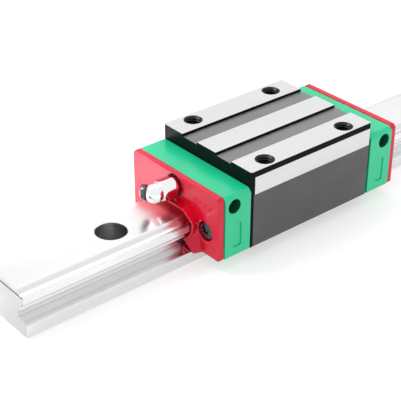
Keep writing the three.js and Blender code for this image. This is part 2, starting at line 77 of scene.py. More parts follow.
RAIL = {
    "half_width": RAIL_HIGH.x, "height": RAIL_HIGH.z, "end": RAIL_HIGH.y,
    "base_top": 4.9, "waist": 7.6, "waist_low": 6.5, "waist_high": 8.2, "nose": 11.85,
    "edge_chamfer": 0.6, "end_chamfer": 0.7,
}
RAIL_HOLE = {"bore": 3.5, "counterbore": 5.5, "depth": 9, "chamfer": 0.2}
BLOCK = {
    "half_width": BLOCK_HIGH.x, "half_length": (BLOCK_HIGH.y - BLOCK_LOW.y) / 2,
    "bottom": BLOCK_LOW.z, "top": BLOCK_HIGH.z, "land": 13.4, "corner_chamfer": 1.2, "foot_chamfer": 0.6,
    "band_top": 32.5, "band_bottom": 25.8, "band_proud": 0.2, "top_edge_inset": 0.6,
    "groove_inner": 5, "groove_outer": 12.9, "groove_depth": 0.9, "seal_recess": 16.6, "seal_recess_top": 6.4,
}
TAPPED_HOLE = {"x": 19, "y": 19, "radius": 3, "pitch": 1, "thread_depth": 0.54, "mouth": 3.5, "depth": 10}
BALL_RADIUS = 2.381
RACEWAY_RADIUS = 2.47
CHANNEL_RADIUS = 2.63
UPPER_ROW = {"load": (10.4, 17.2), "back": (18, 20)}
LOWER_ROW = {"load": (12, 10.1), "back": (18.3, 9)}
SEAM = 0.15
CAP = {
    "half_width": CAP_HIGH.x, "bottom": CAP_LOW.z, "top": CAP_HIGH.z, "chamfer": 1.4, "foot_chamfer": 0.4,
    "inner": BLOCK["half_length"] + SEAM, "outer": CAP_HIGH.y - CARRIAGE_Y, "gap": 0.9,
    "port_y": 36.4, "port_z": 24.5, "port_radius": 2.65, "port_depth": 5,
}
SEAL = {
    "half_width": SEAL_HIGH.x, "bottom": SEAL_LOW.z, "top": SEAL_HIGH.z, "chamfer": 1.2, "foot_chamfer": 0.3,
    "inner": CAP["outer"] + SEAM, "thickness": 2.4, "gap": 0.35, "lip_reach": SEAL_HIGH.y - CARRIAGE_Y,
    "lip_root": 0.5, "nipple_hole": 4.2, "rim": 0.25,
}
SEAL_OUTER = SEAL["inner"] + SEAL["thickness"]
LIP_ONLY = 0.25  # further out than this from an end seal's plate there is only its lip; the dots reach 0.22
BALL_SPACING = 0.06  # the least gap between the balls of a circuit
GREASE = {  # the nipple's hole and the feed behind it, and the grooves in a cap's inner face
    "hole_end": 33, "feed_radius": 1.2, "feed_end": 34, "groove_reach": 18.8, "groove_half_width": 0.8,
    "groove_depth": 1.2, "branch": 17.2, "branch_bottom": 21,
}
SIDE_RECESS = {"y": (33.2, 36.9), "z": (8.3, 17.6), "corner": 0.8, "depth": 0.4}
SEAL_DOTS = ((11.2, 24.4), (13.6, 24.0), (16, 23.6), (18.4, 23.2))
LIP = {  # right halves of the lip's outlines, x and z, listed upwards
    "inside_rim": [
        (13.2, 3), (13.2, 4.65), (8.15, 8.05), (10.1, 9.5),
        (12.2, 12.4), (12.8, 15.2), (12.3, 16.4), (8, 19.2),
    ],
    "inside_plate": [
        (12.95, 3), (12.95, 4.8), (8.1, 7.8), (10.05, 9.5),
        (12.15, 12.45), (12.2, 15), (11.6, 16.3), (8, 18.7),
    ],
    "outside_rim": [
        (13.9, 3), (13.65, 5.3), (9.35, 8.1), (10.6, 9),
        (12.95, 12.25), (13.5, 15.3), (12.75, 16.9), (8.35, 19.8),
    ],
    "outside_plate": [
        (15.2, 3), (14.7, 5.8), (14.4, 9.6), (12.9, 10.9),
        (12.75, 12.7), (12.85, 15.15), (11.6, 17.6), (8.4, 20),
    ],
}
SCREW = {
    "x": 16.2, "z": 13.7, "head_radius": 3.5, "head_height": 1.5, "pocket_radius": 3.6,
    "pocket_depth": 1.55, "shank": 1.25, "hole": 1.5, "tip": 22,
}
NIPPLE = {
    "z": 24.5, "across_flats": 7, "hex_turn": 77.5, "hex_start": 44.2, "hex_end": 50, "collar": 3.1,
    "collar_start": 40.85, "thread_radius": 2.85, "thread_end": 34, "cap_hole": 3.05, "elbow": 51.4,
    "elbow_radius": 3.45, "bore": 1.0, "socket": 1.95, "socket_start": -0.15,
}
NOZZLE = {  # distances along the nozzle are from the middle of the elbow
    "bend": 60, "roll": 188, "root": 1.9, "root_start": -0.1, "neck_end": 2.85,
    "head": 2.8, "head_start": 3.3, "head_end": 4.2, "tip": 1.6, "length": 5.1,
    "inlet": 0.6, "chamber_start": 0.3, "chamber": 1.2, "seat": 4.5, "mouth": 0.65,
}
SPRING = {"turns": 4, "radius": 0.85, "wire": 0.14, "start": 0.5, "end": 2.5}
ENDS = {"front": -1, "rear": 1}
SIDES = {"left": -1, "right": 1}
ROWS = {"upper": UPPER_ROW, "lower": LOWER_ROW}

BODY_OF = {node: body for body, nodes in record["behaviour"]["bodies"].items() for node in nodes}


# ---------------------------------------------------------------- outlines
def arc(centre, radius, start, end, steps):
    """Points on an arc, angles in degrees."""
    angles = [math.radians(start + (end - start) * i / steps) for i in range(steps + 1)]
    return [(centre[0] + radius * math.cos(a), centre[1] + radius * math.sin(a)) for a in angles]


def mirrored(half):
    """A whole anticlockwise outline from its right half, listed upwards."""
    return half + [(-x, z) for x, z in reversed(half)]


def rounded(outline, radius, steps=4, least_turn=25):
    """The outline with a curve in place of each sharp corner."""
    result = []
    for i, corner in enumerate(outline):
        here = Vector(corner)
        before = Vector(outline[i - 1]) - here
        after = Vector(outline[(i + 1) % len(outline)]) - here
        turn = math.pi - before.angle(after)
        if math.degrees(turn) < least_turn:
            result.append(corner)
            continue
        reach = min(radius * math.tan(turn / 2), 0.4 * before.length, 0.4 * after.length)
        start = here + before.normalized() * reach
        end = here + after.normalized() * reach
        for k in range(steps + 1):
            t = k / steps
            result.append(tuple((1 - t) ** 2 * start + 2 * t * (1 - t) * here + t * t * end))
    return result


def offset(outline, distance):
    """An anticlockwise outline moved outwards by a distance, with mitred corners."""
    result = []
    for i, corner in enumerate(outline):
        here = Vector(corner)
        before = (here - Vector(outline[i - 1])).normalized()
        after = (Vector(outline[(i + 1) % len(outline)]) - here).normalized()
        out_before = Vector((before.y, -before.x))
        out_after = Vector((after.y, -after.x))
        mitre = (out_before + out_after) / (1 + out_before.dot(out_after))
        result.append(tuple(here + distance * mitre))
    return result


def rectangle(x0, x1, z0, z1):
    return [(x0, z0), (x1, z0), (x1, z1), (x0, z1)]


def plate(half_width, bottom, top, top_chamfer, foot_chamfer):
    """A rectangle with chamfered corners."""
    return mirrored([
        (half_width - foot_chamfer, bottom), (half_width, bottom + foot_chamfer),
        (half_width, top - top_chamfer), (half_width - top_chamfer, top),
    ])


# ---------------------------------------------------------------- solids
def skin(rings, closed=False):
    """A body through rings of points that are all as long, capped at both ends unless closed."""
    body = bmesh.new()
    loops = [[body.verts.new(point) for point in ring] for ring in rings]
    pairs = list(zip(loops, loops[1:]))
    if closed:
        pairs.append((loops[-1], loops[0]))
    else:
        body.faces.new(list(reversed(loops[0])))
        body.faces.new(loops[-1])
    for low, high in pairs:
        for i in range(len(low)):
            j = (i + 1) % len(low)
            body.faces.new((low[i], low[j], high[j], high[i]))
    bmesh.ops.remove_doubles(body, verts=body.verts, dist=1e-4)
    bmesh.ops.recalc_face_normals(body, faces=body.faces)
    return body


def prism(outline, y0, y1, rim=0.0, rim_steps=3):
    """An outline in x and z, extruded along Y, with its end rims rounded."""
    low, high = sorted((y0, y1))
    steps = rim_steps if rim else 0
    rings = []
    for k in range(steps + 1):
        angle = math.pi / 2 * k / max(steps, 1)
        inset = offset(outline, -rim * (1 - math.sin(angle))) if k < steps else outline
        rings.append((inset, rim * (1 - math.cos(angle))))
    ends = [[(x, low + along, z) for x, z in ring] for ring, along in rings]
    ends += [[(x, high - along, z) for x, z in ring] for ring, along in reversed(rings)]
    return skin(ends)


def slab(outline, z0, z1):
    """An outline in x and y, extruded upwards."""
    return skin([[(x, y, z) for x, y in outline] for z in (z0, z1)])


def lofted(stages):
    """A body through outlines in x and z, each given by its right half and its place along Y."""
    return skin([[(x, y, z) for x, z in mirrored(half)] for half, y in stages])


def wall(outline, x0, x1):
    """An outline in y and z, extruded across."""
    return skin([[(x, y, z) for y, z in outline] for x in (x0, x1)])


def block(x0, x1, y0, y1, z0, z1):
    return prism(rectangle(x0, x1, z0, z1), y0, y1)


def axes(direction, side=None):
    """Three unit vectors: the direction and two square to it, the first one nearest to side."""
    axis = Vector(direction).normalized()
    across = Vector(side) if side else axis.orthogonal()
    across = (across - across.dot(axis) * axis).normalized()
    return axis, across, axis.cross(across)


def circle(centre, across, up, radius, segments):
    angles = [2 * math.pi * i / segments for i in range(segments)]
    return [centre + radius * (math.cos(a) * across + math.sin(a) * up) for a in angles]


def turned(profile, start, direction, segments=48, side=None):
    """A turned body. Its profile is a list of (radius, distance along the axis)."""
    axis, across, up = axes(direction, side)
    return skin([
        circle(Vector(start) + axis * along, across, up, radius, segments) for radius, along in profile
    ])


def rod(radius, start, end, segments=40):
    axis = Vector(end) - Vector(start)
    return turned([(radius, 0), (radius, axis.length)], start, axis, segments)


def sphere(radius, centre, segments=24):
    profile = [(max(x, 0), z) for x, z in arc((0, 0), radius, -90, 90, segments // 2)]
    return turned(profile, centre, (0, 0, 1), segments)


def tube(path, radius, segments=10):
    """A round wire along a path."""
    points = [Vector(p) for p in path]
    across = None
    rings = []
    for i, point in enumerate(points):
        tangent = points[min(i + 1, len(points) - 1)] - points[max(i - 1, 0)]
        _, across, up = axes(tangent, across)
        rings.append(circle(point, across, up, radius, segments))
    return skin(rings)


def helical(radius, depth, pitch, start, direction, length, segments=40):
    """A body with a screw thread: crests at the radius, roots a depth below it, and ragged ends."""
    axis, across, up = axes(direction)
    form = [(radius - depth, 0), (radius, 0.35), (radius, 0.5), (radius - depth, 0.85)]
    samples = len(form)
    rows = samples * math.ceil(length / pitch)
    body = bmesh.new()
    made = {}

    def vert(row, i):
        row, i = row + samples * (i // segments), i % segments
        if (row, i) not in made:
            r, share = form[row % samples]
            angle = 2 * math.pi * i / segments
            along = pitch * (row // samples + share + i / segments)
            point = Vector(start) + axis * along + r * (math.cos(angle) * across + math.sin(angle) * up)
            made[row, i] = body.verts.new(point)
        return made[row, i]

    for row in range(rows):
        for i in range(segments):
            body.faces.new((vert(row, i), vert(row, i + 1), vert(row + 1, i + 1), vert(row + 1, i)))
    for row in (0, rows):
        loop = [vert(row, i) for i in range(segments)] + [vert(row + k, 0) for k in range(samples, 0, -1)]
        middle = body.verts.new(Vector(start) + axis * pitch * (row // samples + 0.9))
        for a, b in zip(loop, loop[1:] + loop[:1]):
            body.faces.new((a, b, middle))
    bmesh.ops.recalc_face_normals(body, faces=body.faces)
    return body


def combined(body, tools, operation):
    """One body cut by, joined to or kept inside others."""
    held = []
    for part in (body, *tools):
        mesh = bpy.data.meshes.new("held")
        part.to_mesh(mesh)
        part.free()
        held.append(bpy.data.objects.new("held", mesh))
        bpy.context.scene.collection.objects.link(held[-1])
    for tool in held[1:]:
        step = held[0].modifiers.new("step", "BOOLEAN")
        step.operation = operation
        step.solver = "EXACT"
        step.object = tool
    result = bmesh.new()
    result.from_object(held[0], bpy.context.evaluated_depsgraph_get())
    for holder in held:
        mesh = holder.data
        bpy.data.objects.remove(holder)
        bpy.data.meshes.remove(mesh)
    return result


def cut(body, *tools):
    return combined(body, tools, "DIFFERENCE")


def join(body, *others):
    return combined(body, others, "UNION")


def within(body, *others):
    return combined(body, others, "INTERSECT")


def heap(parts):
    """Several separate bodies as one."""
    result = bmesh.new()
    for part in parts:
        mesh = bpy.data.meshes.new("held")
        part.to_mesh(mesh)
        part.free()
        result.from_mesh(mesh)
        bpy.data.meshes.remove(mesh)
    return result


# ---------------------------------------------------------------- from solids to pieces
SHARP = math.radians(32)
CREASE = math.radians(6)


def piece(node, body, finishes, creased=None):
    """Makes a body the finished form of a CAD node. finishes is a list of (material, test of a face),
    and a face takes the last material whose test it passes. creased tells which edges keep even a
    slight bend crisp."""
    shift = Vector((0, 0 if node == "guide_rail" else CARRIAGE_Y, 0))
    body.normal_update()
    for face in body.faces:
        face.smooth = True
        for index, (_, test) in enumerate(finishes):
            if test is None or test(face.calc_center_median(), face.normal):
                face.material_index = index
    for edge in body.edges:
        bend = edge.calc_face_angle(math.pi)
        edge.smooth = bend < (CREASE if creased and creased(edge) else SHARP)
    for vert in body.verts:
        vert.co = (vert.co + shift) * MM
    mesh = bpy.data.meshes.new(f"{node}_finished")
    body.to_mesh(mesh)
    body.free()
    for material, _ in finishes:
        mesh.materials.append(material)
    made = bpy.data.objects.new(mesh.name, mesh)
    bpy.context.scene.collection.objects.link(made)
    weighted = made.modifiers.new("face_weighted_normals", "WEIGHTED_NORMAL")
    weighted.keep_sharp = True
    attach(made, BODY_OF[node])
    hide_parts(node)
    return made


# ---------------------------------------------------------------- materials
class Finish:
    """A material with short ways to add and join its nodes."""

    def __init__(self, name, colour, roughness, metallic=0.0, **settings):
        self.material = bpy.data.materials.new(name)
        self.material.use_nodes = True
        self.tree = self.material.node_tree
        self.shader = self.tree.nodes["Principled BSDF"]
        self.set("Base Color", (*colour, 1))
        self.set("Roughness", roughness)
        self.set("Metallic", metallic)
        for socket, value in settings.items():
            self.set(socket.replace("_", " ").title().replace("Ior", "IOR"), value)
        self.place = self.node("ShaderNodeTexCoord").outputs["Object"]

    def set(self, socket, value):
        if isinstance(value, bpy.types.NodeSocket):
            self.tree.links.new(value, self.shader.inputs[socket])
        else:
            self.shader.inputs[socket].default_value = value

    def node(self, kind, inputs=(), **settings):
        made = self.tree.nodes.new(kind)
        for name, value in settings.items():
            setattr(made, name, value)
        for name, value in dict(inputs).items():
            if isinstance(value, bpy.types.NodeSocket):
                self.tree.links.new(value, made.inputs[name])
            else:
                made.inputs[name].default_value = value
        return made

    def noise(self, size_mm, detail=3.0, roughness=0.5):
        """Noise from 0 to 1, whose grain has that size along x, y and z."""
        stretch = self.node("ShaderNodeMapping", {
            "Vector": self.place, "Scale": [1 / (s * MM) for s in size_mm],
        })
        grain = self.node("ShaderNodeTexNoise", {
            "Vector": stretch.outputs["Vector"], "Scale": 1.0, "Detail": detail, "Roughness": roughness,
        })
        return grain.outputs["Fac"]

    def ranged(self, value, low, high, start=0.25, end=0.75):
        """The value, stretched from start..end to low..high."""
        node = self.node("ShaderNodeMapRange", {
            "Value": value, "From Min": start, "From Max": end, "To Min": low, "To Max": high,
        })
        return node.outputs["Result"]

    def mixed(self, share, colour_a, colour_b):
        node = self.node("ShaderNodeMix", data_type="RGBA")
        for socket, value in ((0, share), (6, colour_a), (7, colour_b)):
            if isinstance(value, bpy.types.NodeSocket):
                self.tree.links.new(value, node.inputs[socket])
            else:
                node.inputs[socket].default_value = (*value, 1)
        return node.outputs[2]

    def edges(self, radius_mm, start=0.02, end=0.25):
        """1 on convex and concave edges, 0 on flat faces."""
        soft = self.node("ShaderNodeBevel", {"Radius": radius_mm * MM}, samples=6)
        true = self.node("ShaderNodeNewGeometry").outputs["True Normal"]
        dot = self.node("ShaderNodeVectorMath", operation="DOT_PRODUCT")
        self.tree.links.new(soft.outputs["Normal"], dot.inputs[0])
        self.tree.links.new(true, dot.inputs[1])
        away = self.node("ShaderNodeMath", operation="SUBTRACT")
        away.inputs[0].default_value = 1.0
        self.tree.links.new(dot.outputs["Value"], away.inputs[1])
        return self.ranged(away.outputs["Value"], 0.0, 1.0, start, end)

    def bump(self, height, depth_mm):
        node = self.node("ShaderNodeBump", {
            "Height": height, "Distance": depth_mm * MM, "Strength": 1.0,
        })
        self.set("Normal", node.outputs["Normal"])


def ground_steel(name, colour, dark, rough_low, rough_high):
    """Bright steel, ground lengthwise."""
    f = Finish(name, colour, rough_low, metallic=1.0)
    fine = f.noise((0.25, 60, 0.25), detail=4.0, roughness=0.6)
    broad = f.noise((9, 70, 9), detail=2.0)
    f.set("Base Color", f.mixed(f.ranged(broad, 0.0, 1.0), colour, dark))
    f.set("Roughness", f.ranged(fine, rough_low, rough_high))
    f.bump(fine, 0.0012)
    return f.material


def dark_steel(name, colour, worn, rough_low, rough_high, grain=(0.5, 0.5, 0.5), wear_radius=0.15):
    """Blackened steel, a little brighter where its edges are worn."""
    f = Finish(name, colour, rough_low, metallic=1.0)
    fine = f.noise(grain, detail=4.0)
    broad = f.noise((11, 17, 11), detail=2.0)
    lighter = tuple(min(1.0, 1.18 * c) for c in colour)
    tone = f.mixed(f.ranged(broad, 0.0, 1.0), colour, lighter)
    f.set("Base Color", f.mixed(f.edges(wear_radius), tone, worn))
    f.set("Roughness", f.ranged(fine, rough_low, rough_high))
    f.bump(fine, 0.003)
    return f.material


def bored_steel(name, colour):
    """The inside of a drilled hole, with fine rings round it."""
    f = Finish(name, colour, 0.3, metallic=1.0)
    rings = f.noise((30, 30, 0.35), detail=3.0)
    f.set("Roughness", f.ranged(rings, 0.22, 0.45))
    f.set("Base Color", f.mixed(f.ranged(rings, 0.0, 1.0), colour, tuple(1.8 * c for c in colour)))
    f.bump(rings, 0.02)
    return f.material


def moulded(name, colour, deep, rough_low, rough_high, **settings):
    """Moulded plastic or rubber: slight mottling and a very fine skin texture."""
    f = Finish(name, colour, rough_low, **settings)
    broad = f.noise((14, 14, 14), detail=2.0)
    fine = f.noise((0.6, 0.6, 0.6), detail=3.0)
    f.set("Base Color", f.mixed(f.ranged(broad, 0.0, 1.0), colour, deep))
    f.set("Roughness", f.ranged(fine, rough_low, rough_high))
    f.bump(fine, 0.004)
    return f.material


def plated(name, colour, rough_low, rough_high):
    """Polished or plated metal with faint handling marks."""
    f = Finish(name, colour, rough_low, metallic=1.0)
    fine = f.noise((0.3, 0.3, 0.3), detail=5.0)
    f.set("Base Color", f.mixed(f.ranged(fine, 0.0, 0.35), colour, tuple(0.85 * c for c in colour)))
    f.set("Roughness", f.ranged(fine, rough_low, rough_high))
    f.bump(fine, 0.0008)
    return f.material


# Painted light and shade: the rail's one ground steel comes in three copies, lightest on the top where the
# light falls, darker on the sides and darker still on the ends.
RAIL_TOP_PAINTED_LIT_STEEL = ground_steel("rail_top_steel_painted_lit", (0.93, 0.93, 0.935), (0.87, 0.87, 0.88), 0.18, 0.28)
RAIL_SIDE_PAINTED_SHADE_STEEL = ground_steel("rail_side_steel_painted_shade", (0.81, 0.81, 0.815), (0.73, 0.73, 0.74), 0.16, 0.26)
# Painted shade: the block's ground band on its sides is a darker copy of the ground steel of its top strips.
BAND_PAINTED_SHADE_STEEL = ground_steel("band_ground_steel_painted_shade", (0.68, 0.68, 0.68), (0.63, 0.63, 0.63), 0.22, 0.34)
STRIP_STEEL = ground_steel("block_ground_steel", (0.8, 0.8, 0.8), (0.75, 0.75, 0.75), 0.22, 0.34)
RAIL_END_PAINTED_SHADE_STEEL = ground_steel("rail_end_steel_painted_shade", (0.64, 0.64, 0.645), (0.58, 0.58, 0.59), 0.25, 0.35)
# Painted shade: the rail's bolt holes get steel far darker than the rail round them, and the block's tapped
# holes near-black steel, for the shade down in the holes.
HOLE_PAINTED_SHADE_STEEL = bored_steel("bored_steel", (0.27, 0.27, 0.275))
THREAD_PAINTED_SHADE_STEEL = bored_steel("tapped_steel_painted_shade", (0.025, 0.025, 0.027))
# Painted light and shade: the block's one blackened steel comes in copies by facing, lighter on the upward
# groove floors, darker on the sides and near black on the ends and everything else.
GROOVE_PAINTED_LIT_STEEL = dark_steel(
    "groove_steel_painted_lit", (0.24, 0.24, 0.24), (0.4, 0.4, 0.4), 0.35, 0.5, grain=(0.3, 2.5, 0.3),
)
SIDE_PAINTED_SHADE_STEEL = dark_steel("blackened_side_steel_painted_shade", (0.105, 0.105, 0.105), (0.2, 0.2, 0.2), 0.4, 0.5)
END_PAINTED_SHADE_STEEL = dark_steel("blackened_end_steel_painted_shade", (0.011, 0.011, 0.013), (0.04, 0.04, 0.04), 0.3, 0.42)
RACEWAY_STEEL = plated("raceway_steel", (0.75, 0.75, 0.76), 0.08, 0.16)
GREEN = moulded("green_plastic", (0.012, 0.55, 0.27), (0.009, 0.49, 0.235), 0.18, 0.28, IOR=1.5)
# Painted shade: the side port's wall is the cap's green made much darker, for the shade down in the port.
PORT_PAINTED_SHADE_GREEN = moulded("green_port_wall_painted_shade", (0.002, 0.11, 0.05), (0.001, 0.08, 0.036), 0.4, 0.5, IOR=1.5)
RED = moulded(
    "red_rubber", (0.66, 0.0025, 0.018), (0.6, 0.002, 0.014), 0.16, 0.24,
    IOR=1.52, specular_tint=(0.4, 0.62, 1.0, 1.0),
)
BLACK_STEEL = dark_steel(
    "black_oxide_steel", (0.075, 0.075, 0.077), (0.25, 0.25, 0.25), 0.13, 0.22,
    grain=(0.2, 0.2, 0.2), wear_radius=0.08,
)
NOZZLE_STEEL = dark_steel(
    "hardened_nozzle_steel", (0.12, 0.12, 0.12), (0.35, 0.35, 0.35), 0.1, 0.2,
    grain=(0.2, 0.2, 0.2), wear_radius=0.08,
)
BLACK_PLASTIC = moulded("black_plastic", (0.02, 0.02, 0.022), (0.03, 0.03, 0.032), 0.4, 0.55)
CHROME = plated("chrome", (0.92, 0.92, 0.93), 0.05, 0.12)
BEARING_STEEL = plated("bearing_steel", (0.8, 0.8, 0.82), 0.04, 0.08)
SPRING_STEEL = plated("spring_steel", (0.55, 0.55, 0.57), 0.2, 0.3)


# ---------------------------------------------------------------- rail
def rail_section():
    r = RAIL
    upper, lower = UPPER_ROW["load"], LOWER_ROW["load"]
    top_edge = 180 + math.degrees(math.asin((upper[1] - r["height"]) / RACEWAY_RADIUS)) - 360
    nose_edge = -math.degrees(math.acos((r["nose"] - upper[0]) / RACEWAY_RADIUS))
    return rounded(mirrored([
        (r["half_width"] - r["edge_chamfer"], 0),
        (r["half_width"], r["edge_chamfer"]),
        (r["half_width"], r["base_top"]),
        (r["waist"], r["waist_low"]),
        (r["waist"], r["waist_high"]),
        *arc(lower, RACEWAY_RADIUS, 190, 97, 14),
        (r["nose"], lower[1] + RACEWAY_RADIUS + 0.2),
        *arc(upper, RACEWAY_RADIUS, nose_edge, top_edge, 14),
    ]), 0.3)


def guide_rail():
    r, h = RAIL, RAIL_HOLE
    end, top, chamfer = r["end"], r["height"], r["end_chamfer"]
    body = prism(rail_section(), -end, end, rim=0.1, rim_steps=1)
    wedges = []
    for s in ENDS.values():
        inner, beyond = s * (end - chamfer), s * (end + 1)
        wedges.append(wall([(inner, top + 0.01), (beyond, top - chamfer - 1), (beyond, top + 0.01)], -20, 20))
    shelf = top - h["depth"]
    profile = [
        (h["bore"], -1), (h["bore"], shelf - 0.2), (h["bore"] + 0.2, shelf), (h["counterbore"], shelf),
        (h["counterbore"], top - h["chamfer"]), (h["counterbore"] + h["chamfer"] + 1, top + 1),
    ]
    holes = [turned(profile, (0, y, 0), (0, 0, 1), 64) for y in rail_hole_places()]
    return cut(body, *wedges, *holes)


def rail_hole_places():
    """The y of each bolt hole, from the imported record."""
    openings = record["physics"]["openings"]
    boxes = [row["box_m"] for row in openings if row["name"].startswith("rail_bolt_hole")]
    return [(low[1] + high[1]) / 2 / MM for low, high in boxes]


def is_rail_end(centre, normal):
    return abs(normal.y) > 0.9


def is_rail_top(centre, normal):
    return centre.z > RAIL["height"] - RAIL["end_chamfer"] - 0.1 and normal.z > 0.5


def in_rail_hole(centre, normal):
    reach = min(math.hypot(centre.x, centre.y - y) for y in rail_hole_places())
    tilt = abs(normal.y) + abs(normal.x) + abs(normal.z - 1)
    return reach < RAIL_HOLE["counterbore"] + 0.01 and tilt > 0.01


def rail_envelope():
    """The rail's section in straight lines."""
    r, flank = RAIL, LOWER_ROW["load"]
    return mirrored([
        (r["half_width"], -1),
        (r["half_width"], r["base_top"]),
        (r["waist"], r["waist_low"]),
        (r["waist"], r["waist_high"]),
        (flank[0] - RACEWAY_RADIUS, flank[1] - 0.4),
        (r["nose"], flank[1] + RACEWAY_RADIUS + 0.2),
        (r["nose"], r["height"] - 1.9),
        (r["waist"] + 0.4, r["height"]),
    ])


# ---------------------------------------------------------------- carriage block
def block_section():
    b = BLOCK
    upper, lower = UPPER_ROW["load"], LOWER_ROW["load"]
    land_foot = math.degrees(math.acos((b["land"] - lower[0]) / RACEWAY_RADIUS))
    side = b["half_width"] - b["band_proud"]
    outside = [
        (b["groove_inner"], b["top"]),
        (b["groove_inner"], b["top"] - b["groove_depth"]),
        (b["groove_outer"], b["top"] - b["groove_depth"]),
        (b["groove_outer"], b["top"]),
        (b["half_width"] - b["top_edge_inset"], b["top"]),
        (b["half_width"], b["band_top"]),
        (b["half_width"], b["band_bottom"]),
        (side, b["band_bottom"] - b["band_proud"]),
        (side, b["bottom"] + b["foot_chamfer"]),
        (side - b["foot_chamfer"], b["bottom"]),
        (b["seal_recess"], b["bottom"]),
        (b["seal_recess"], b["seal_recess_top"]),
    ]
    inside = [
        (lower[0] + RACEWAY_RADIUS * math.cos(math.radians(-75)), b["seal_recess_top"]),
        *arc(lower, RACEWAY_RADIUS, -75, land_foot, 16),
        (b["land"], upper[1] - 1),
        *arc(upper, RACEWAY_RADIUS, -10, 135, 16),
    ]
    whole = mirrored(outside + inside)
    return rounded(list(reversed(whole)), 0.12, steps=2)


def tapped_hole(x, y):
    t, top = TAPPED_HOLE, BLOCK["top"]
    root = t["radius"] - t["thread_depth"]
    drilled = turned([
        (0, -t["depth"] - 1.2), (root, -t["depth"]), (root, -0.95), (t["mouth"], 0), (t["mouth"], 1),
    ], (x, y, top), (0, 0, 1), 48)
    start, length = (x, y, top + 0.6), t["depth"] - 1.5
    thread = helical(t["radius"], t["thread_depth"], t["pitch"], start, (0, 0, -1), length)
    return join(drilled, within(thread, block(x - 5, x + 5, y - 5, y + 5, 0, top + 0.4)))


def carriage_block():
    b, t = BLOCK, TAPPED_HOLE
    w, l, c = b["half_width"], b["half_length"], b["corner_chamfer"]
    body = prism(block_section(), -l, l, rim=0.1, rim_steps=1)
    plan = rounded([
        (w, l - c), (w - c, l), (-w + c, l), (-w, l - c),
        (-w, -l + c), (-w + c, -l), (w - c, -l), (w, -l + c),
    ], 0.3)
    tools = []
    for side in SIDES.values():
        for end in ENDS.values():
            tools.append(tapped_hole(side * t["x"], end * t["y"]))
            start = (side * SCREW["x"], end * (SCREW["tip"] - 1), SCREW["z"])
            tools.append(rod(SCREW["hole"], start, (start[0], end * (l + 1), start[2]), 20))
        for row in ROWS.values():
            x, z = side * row["back"][0], row["back"][1]
            tools.append(rod(CHANNEL_RADIUS, (x, -l - 1, z), (x, l + 1, z), 32))
    return cut(within(body, slab(plan, 0, b["top"] + 1)), *tools)


def is_strip(centre, normal):
    return normal.z > 0.99 and abs(centre.z - BLOCK["top"]) < 0.02


def is_band(centre, normal):
    on_side = abs(normal.x) > 0.99 and abs(centre.x) > BLOCK["half_width"] - 0.05
    return on_side and abs(centre.y) < BLOCK["half_length"] - BLOCK["corner_chamfer"]


def in_tapped_hole(centre, normal):
    t = TAPPED_HOLE
    reach = math.hypot(abs(centre.x) - t["x"], abs(centre.y) - t["y"])
    return reach < t["mouth"] + 0.05 and BLOCK["top"] - t["depth"] - 2 < centre.z < BLOCK["top"] - 0.01


def is_groove_floor(centre, normal):
    depth = BLOCK["top"] - centre.z
    return normal.z > 0.99 and abs(depth - BLOCK["groove_depth"]) < 0.05


def is_block_side(centre, normal):
    on_side = abs(normal.x) > 0.9 and abs(centre.x) > BLOCK["half_width"] - 0.3
    return on_side and centre.z < BLOCK["band_bottom"]


def is_raceway(centre, normal):
    inside = abs(centre.x) < BLOCK["seal_recess"] - 0.1 and centre.z < UPPER_ROW["load"][1] + 2.5
    return inside and abs(normal.y) < 0.1


# ---------------------------------------------------------------- ball circuits
def turn_of(row, side, end):
    """The half circle between a loaded row and its return bore: centre, radius and direction."""
    load = Vector((side * row["load"][0], 0, row["load"][1]))
    back = Vector((side * row["back"][0], 0, row["back"][1]))
    centre = (load + back) / 2
    centre.y = end * BLOCK["half_length"]
    return centre, (back - load).length / 2, (back - load).normalized()


def on_turn(turn, angle, end):
    centre, radius, across = turn
    return centre - across * radius * math.cos(angle) + Vector((0, end * radius * math.sin(angle), 0))


def turn_channel(turn, segments=48):
    """The ring shaped passage of a turn."""
    centre, radius, across = turn
    out = Vector((0, 1, 0))
    normal = across.cross(out)
    rings = []
    for i in range(segments):
        angle = 2 * math.pi * i / segments
        radial = math.cos(angle) * across + math.sin(angle) * out
        rings.append(circle(centre + radius * radial, radial, normal, CHANNEL_RADIUS, 24))
    return skin(rings, closed=True)


def turn_disc(turn, radius, thickness):
    centre, _, across = turn
    normal = across.cross(Vector((0, 1, 0)))
    return rod(radius, centre - normal * thickness / 2, centre + normal * thickness / 2, 64)


def return_guide(row, side, end):
    turn = turn_of(row, side, end)
    face = end * CAP["inner"]
    half = block(-30, 30, face, face + end * 12, 0, 40)
    return cut(within(turn_disc(turn, turn[1] - 0.3, 4.4), half), turn_channel(turn))


def ball_circuit(row, side):
    """The loose balls of one circuit, evenly spaced round its track."""
    straight = 2 * BLOCK["half_length"]
    front, rear = turn_of(row, side, -1), turn_of(row, side, 1)
    around = math.pi * front[1]
    length = 2 * (straight + around)
    count = math.floor(length / (2 * BALL_RADIUS + BALL_SPACING))
    balls = []
    for i in range(count):
        s = length * (i + 0.5) / count
        if s < straight:
            centre = Vector((side * row["load"][0], s - straight / 2, row["load"][1]))
        elif s < straight + around:
            centre = on_turn(rear, (s - straight) / front[1], 1)
        elif s < 2 * straight + around:
            centre = Vector((side * row["back"][0], straight / 2 - (s - straight - around), row["back"][1]))
        else:
            centre = on_turn(front, math.pi - (s - 2 * straight - around) / front[1], -1)
        balls.append(sphere(BALL_RADIUS, centre))
    return heap(balls)


# ---------------------------------------------------------------- retainers and bottom seals
def strip(outline, radius=0.2):
    reach = BLOCK["half_length"] - SEAM
    return prism(rounded(outline, radius), -reach, reach, rim=0.08, rim_steps=1)


def mirrored_strip(outline, side):
    return strip(outline if side > 0 else [(-x, z) for x, z in reversed(outline)])


